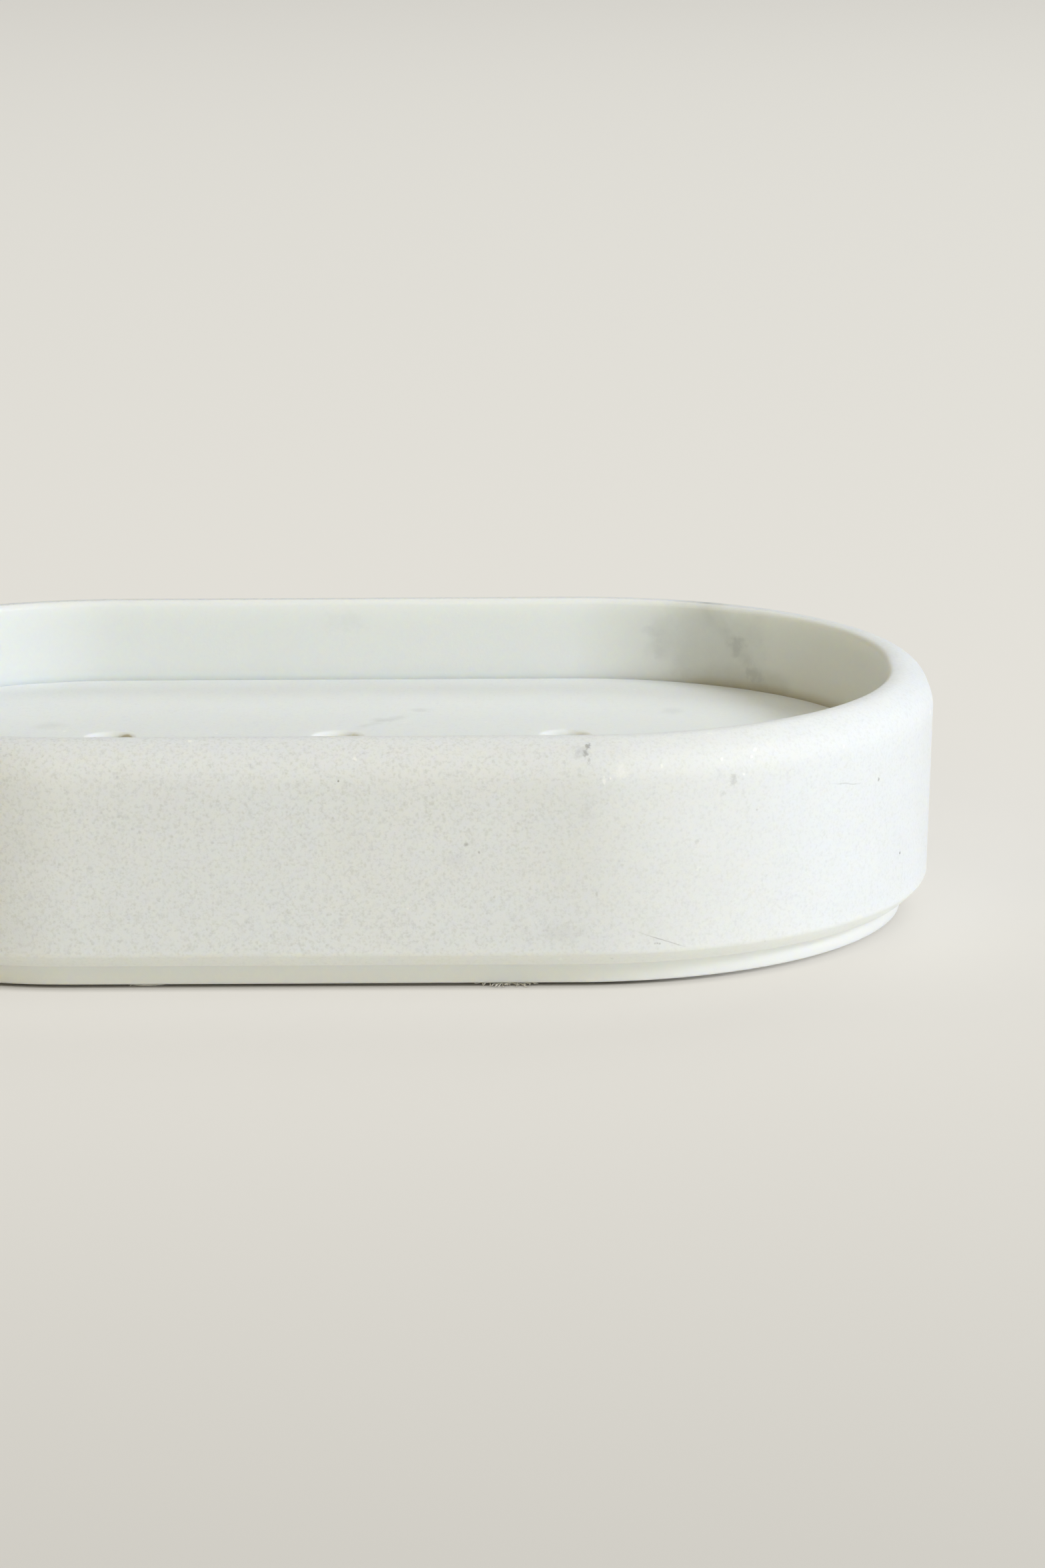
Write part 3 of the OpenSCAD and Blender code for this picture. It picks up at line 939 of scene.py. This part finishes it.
def feltPadTree():
    # a cut felt disc with an uneven edge, and fine hairs that stick out of its side
    tree, given, made = newTree(
        "feltPad", "GeometryNodeTree",
        [
            ("Radius", "Float", 0.004),
            ("Thickness", "Float", 0.0005),
            ("Centre", "Vector", (0, 0, 0)),
            ("Rims", "Int", 5),
            ("Fuzz", "Float", 0.00005),
            ("Hairs", "Int", 100),
            ("Hair Length", "Float", 0.001),
            ("Hair Width", "Float", 0.00003),
            ("Hair Steps", "Int", 7),
            ("Sweep", "Float", 0.0),
            ("Seed", "Int", 0),
            ("Material", "Material", None),
        ],
        [("Mesh", "Geometry")],
    )
    link = tree.links.new

    disc = addNode(tree, "GeometryNodeMeshCylinder", {
        "Vertices": felt["sides"], "Side Segments": given["Rims"],
        "Radius": mathNode(tree, "SUBTRACT", given["Radius"], given["Fuzz"]),
        "Depth": given["Thickness"],
    })
    uneven = addNode(tree, "ShaderNodeTexNoise", {"Scale": felt["fuzzScale"], "Detail": 3.0})
    position = addNode(tree, "GeometryNodeInputPosition").outputs[0]
    aside = vectorNode(tree, "NORMALIZE", vectorNode(tree, "MULTIPLY", position, (1, 1, 0)))
    amount = mathNode(tree, "MULTIPLY", uneven.outputs["Fac"], given["Fuzz"])
    push = vectorNode(tree, "SCALE", aside, amount)
    edged = addNode(tree, "GeometryNodeSetPosition", {"Geometry": disc.outputs["Mesh"], "Offset": push})

    # each hair starts on a point of the side and leans its own way
    roots = addNode(tree, "GeometryNodeMeshLine", {"Count": given["Hairs"]}, mode="OFFSET")
    number = addNode(tree, "GeometryNodeInputIndex")

    def roll(least, most, offset):
        dice = addNode(tree, "FunctionNodeRandomValue", {
            2: least, 3: most, "ID": number.outputs[0],
            "Seed": mathNode(tree, "ADD", given["Seed"], offset),
        }, data_type="FLOAT")
        return dice.outputs[1]

    turn = roll(-math.pi, math.pi, 0)
    front = mathNode(tree, "ADD", mathNode(tree, "MULTIPLY", turn, felt["sweepSpan"]), -math.pi / 2)
    mixed = addNode(tree, "ShaderNodeMix", {
        "Factor": given["Sweep"], "A": turn, "B": front,
    }, data_type="FLOAT")
    around = mixed.outputs["Result"]
    reach = mathNode(tree, "MULTIPLY", given["Radius"], felt["rootDepth"])
    rim = addNode(tree, "ShaderNodeCombineXYZ", {
        "X": mathNode(tree, "MULTIPLY", mathNode(tree, "COSINE", around), reach),
        "Y": mathNode(tree, "MULTIPLY", mathNode(tree, "SINE", around), reach),
        "Z": mathNode(tree, "MULTIPLY", given["Thickness"], roll(*felt["rootHeight"], 11)),
    })
    standing = addNode(tree, "GeometryNodeSetPosition", {
        "Geometry": roots.outputs[0], "Position": rim.outputs[0],
    })

    hair = addNode(tree, "GeometryNodeCurvePrimitiveLine", {"Start": (0, 0, 0), "End": (1, 0, 0)})
    steps = addNode(tree, "GeometryNodeResampleCurve", {
        "Curve": hair.outputs[0], "Count": given["Hair Steps"],
    }, mode="COUNT")
    lean = addNode(tree, "ShaderNodeCombineXYZ", {
        "Y": roll(*felt["rise"], 23), "Z": mathNode(tree, "ADD", around, roll(*felt["fan"], 37)),
    })
    share = mathNode(tree, "POWER", roll(0.0, 1.0, 41), felt["mostlyShort"])
    share = mathNode(tree, "ADD", share, felt["shortest"])
    length = mathNode(tree, "MULTIPLY", share, given["Hair Length"])
    spread = addNode(tree, "GeometryNodeInstanceOnPoints", {
        "Points": standing.outputs[0], "Instance": steps.outputs[0], "Rotation": lean.outputs[0],
        "Scale": length,
    })
    loose = addNode(tree, "GeometryNodeRealizeInstances", {"Geometry": spread.outputs[0]})

    # the hairs curl, but stay between the table and the height of the foot's underside
    curl = addNode(tree, "ShaderNodeTexNoise", {"Scale": felt["curlScale"], "Detail": 1.0})
    swing = vectorNode(tree, "SUBTRACT", curl.outputs["Color"], (0.5, 0.5, 0.5))
    along = addNode(tree, "GeometryNodeSplineParameter")
    towardsTip = mathNode(tree, "POWER", along.outputs["Factor"], felt["tipBend"])
    bend = mathNode(tree, "MULTIPLY", towardsTip, given["Hair Length"])
    bend = mathNode(tree, "MULTIPLY", bend, felt["curl"])
    curled = addNode(tree, "GeometryNodeSetPosition", {
        "Geometry": loose.outputs[0], "Offset": vectorNode(tree, "SCALE", swing, bend),
    })
    here = addNode(tree, "ShaderNodeSeparateXYZ", {
        0: addNode(tree, "GeometryNodeInputPosition").outputs[0],
    })
    halfPad = mathNode(tree, "MULTIPLY", given["Thickness"], 0.5)
    halfGap = mathNode(tree, "SUBTRACT", halfPad, given["Hair Width"])
    lowest = mathNode(tree, "MULTIPLY", halfGap, -1.0)
    kept = mathNode(tree, "MAXIMUM", mathNode(tree, "MINIMUM", here.outputs["Z"], halfGap), lowest)
    place = addNode(tree, "ShaderNodeCombineXYZ", {
        "X": here.outputs["X"], "Y": here.outputs["Y"], "Z": kept,
    })
    flat = addNode(tree, "GeometryNodeSetPosition", {
        "Geometry": curled.outputs[0], "Position": place.outputs[0],
    })
    hairRing = addNode(tree, "GeometryNodeCurvePrimitiveCircle", {
        "Resolution": felt["hairSides"], "Radius": mathNode(tree, "MULTIPLY", given["Hair Width"], 0.5),
    })
    hairs = addNode(tree, "GeometryNodeCurveToMesh", {
        "Fill Caps": True, "Curve": flat.outputs[0], "Profile Curve": hairRing.outputs[0],
    })

    both = addNode(tree, "GeometryNodeJoinGeometry")
    link(edged.outputs[0], both.inputs[0])
    link(hairs.outputs[0], both.inputs[0])
    lift = addNode(tree, "GeometryNodeTransform", {
        "Geometry": both.outputs[0], "Translation": given["Centre"],
    })
    return finishTree(tree, given, made, lift.outputs[0])


whiteFelt = feltMaterial(felt)
padTree = feltPadTree()
for order, (name, (hairs, hairLength, sweep)) in enumerate(wear.items()):
    padLow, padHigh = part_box(name)
    words = name.split("_")
    pad = meshObject("feltPad" + words[2].capitalize() + words[3].capitalize(), [(0, 0, 0)], [])
    runTree(pad, padTree, {
        "Radius": (padHigh.x - padLow.x) / 2,
        "Thickness": padHigh.z - padLow.z,
        "Centre": (padLow + padHigh) / 2,
        "Rims": felt["rims"],
        "Fuzz": felt["fuzz"] * mm,
        "Hairs": hairs,
        "Hair Length": hairLength * mm,
        "Hair Width": felt["hairWidth"] * mm,
        "Hair Steps": felt["hairSteps"],
        "Sweep": sweep,
        "Seed": felt["seed"] + order,
        "Material": whiteFelt,
    })
    smoothBelow(pad, felt["sharpAbove"])
    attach(pad, "dish")
    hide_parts(name)
print("felt pads made")


# Table, lights and camera

stage = {
    "reach": 8.0,            # how far the floor runs, in metres
    "paper": (0.92, 0.905, 0.865, 1),
    "roughness": 0.9,
    "gloss": 0.1,
    "near": tone(197, 194, 187),     # the paper as the camera sees it, from the frame's foot, where painted shade darkens it
    "far": tone(228, 225, 218),      # to behind the dish
    "fade": (-245.0, 100.0),         # where along Y that change runs, in millimetres
    "seen": 0.72,            # how much of what the camera sees is that colour
    "contact": 3.5,          # how far the painted contact shadow reaches from the dish, in millimetres
    "contactShade": tone(24, 15, 5),
    "contactRange": (0.05, 0.7),
    "contactAlong": (36.0, 64.0),    # and the painted shadow fades from here to there along X, towards the lit end
    "contactLeast": 0.15,
    "contactSamples": 12,
}


def paperMaterial():
    # lit paper, and for the camera mostly its own even colour, with a painted contact shadow close to the
    # dish
    material, tree, paper = newMaterial("palePaper", {
        "Base Color": stage["paper"], "Roughness": stage["roughness"],
        "Specular IOR Level": stage["gloss"],
    })
    spot = addNode(tree, "ShaderNodeSeparateXYZ", {0: millimetrePoint(tree)})
    back = rampNode(tree, spot.outputs["Y"], *stage["fade"], smooth=False)
    left = mathNode(tree, "SUBTRACT", 1.0, back)
    shade = addNode(tree, "ShaderNodeMix", {
        "Factor": mathNode(tree, "SUBTRACT", 1.0, mathNode(tree, "POWER", left, 2.0)),
        "A": stage["near"], "B": stage["far"],
    }, data_type="RGBA")
    closeBy = addNode(tree, "ShaderNodeAmbientOcclusion", {
        "Distance": stage["contact"] * mm,
    }, samples=stage["contactSamples"])
    clear = rampNode(tree, closeBy.outputs["AO"], *stage["contactRange"], smooth=False)
    dark = mathNode(tree, "SUBTRACT", 1.0, clear)
    least = stage["contactLeast"]
    less = rampNode(tree, spot.outputs["X"], *stage["contactAlong"], smooth=False, low=1.0, high=least)
    even = addNode(tree, "ShaderNodeEmission", {
        "Color": layOver(tree, shade.outputs["Result"], dark, less, stage["contactShade"]),
    })
    path = addNode(tree, "ShaderNodeLightPath")
    mirrored = mathNode(tree, "MAXIMUM", path.outputs["Is Glossy Ray"], path.outputs["Is Transmission Ray"])
    looking = mathNode(tree, "MAXIMUM", path.outputs["Is Camera Ray"], mirrored)
    blend = addNode(tree, "ShaderNodeMixShader", {
        0: mathNode(tree, "MULTIPLY", looking, stage["seen"]), 1: paper.outputs[0],
        2: even.outputs[0],
    })
    tree.links.new(blend.outputs[0], tree.nodes["Material Output"].inputs["Surface"])
    return material


def makeFloor():
    reach = stage["reach"]
    mesh = bpy.data.meshes.new("floor")
    corners = [(-reach, -reach, 0), (reach, -reach, 0), (reach, reach, 0), (-reach, reach, 0)]
    mesh.from_pydata(corners, [], [(0, 1, 2, 3)])
    obj = bpy.data.objects.new("floor", mesh)
    scene.collection.objects.link(obj)
    mesh.materials.append(paperMaterial())


makeFloor()

lighting = {
    "room": (0.03, 0.026, 0.02, 1),      # what is left of the room's own light
    "boxDistance": 1.6,
    "boxes": [                 # name, turn from the right end to the viewer, rise, size, power, colour
        ("keySoftbox", 26, 32, 0.5, 13.1, (0.936, 0.945, 1.0)),
        ("lowSoftbox", 60, 10, 0.8, 6.1, (0.958, 1.0, 0.953)),
        ("highSoftbox", 90, 55, 0.9, 3.1, (1.0, 0.93, 0.92)),
        ("topSoftbox", 0, 65, 0.9, 4.8, (0.953, 1.0, 0.963)),
        ("warmSoftbox", 130, 29, 0.9, 3.0, (1.0, 0.76, 0.1)),
        ("leftSoftbox", 210, 35, 0.9, 3.4, (1.0, 0.939, 0.822)),
        ("rearSoftbox", -70, 40, 0.8, 6.0, (0.94, 1.0, 0.98)),
    ],
}

world = bpy.data.worlds.new("room")
scene.world = world
world.use_nodes = True
world.node_tree.nodes["Background"].inputs["Color"].default_value = lighting["room"]


def addSoftbox(name, turn, rise, distance, size, power, colour):
    lamp = bpy.data.lights.new(name, "AREA")
    lamp.shape = "DISK"
    lamp.size = size
    lamp.energy = power
    lamp.color = colour
    obj = bpy.data.objects.new(name, lamp)
    scene.collection.objects.link(obj)
    turn, rise = math.radians(turn), math.radians(rise)
    level = math.cos(rise)
    place = Vector((level * math.cos(turn), -level * math.sin(turn), math.sin(rise))) * distance
    obj.location = place
    obj.rotation_euler = place.to_track_quat("Z", "Y").to_euler()
    return obj


for name, turn, rise, size, power, colour in lighting["boxes"]:
    addSoftbox(name, turn, rise, lighting["boxDistance"], size, power, colour)

view = {
    "lens": 122.3,           # on a picture as tall as the sensor
    "sensor": 36.0,
    "place": (23.5, -656.7, 165.6),
    "down": 12.94,           # degrees below level
    "roll": -0.28,
    "farthest": 50.0,        # metres
}
lens = bpy.data.cameras.new("viewCamera")
lens.lens = view["lens"]
lens.sensor_width = view["sensor"]
lens.clip_end = view["farthest"]
camera = bpy.data.objects.new("viewCamera", lens)
scene.collection.objects.link(camera)
camera.location = Vector(view["place"]) * mm
tilt = Matrix.Rotation(math.radians(90 - view["down"]), 3, "X")
rolled = Matrix.Rotation(math.radians(view["roll"]), 3, "Z")
camera.rotation_euler = (tilt @ rolled).to_euler()
scene.camera = camera
scene.view_settings.view_transform = "Standard"
print("stage, lights and camera placed")
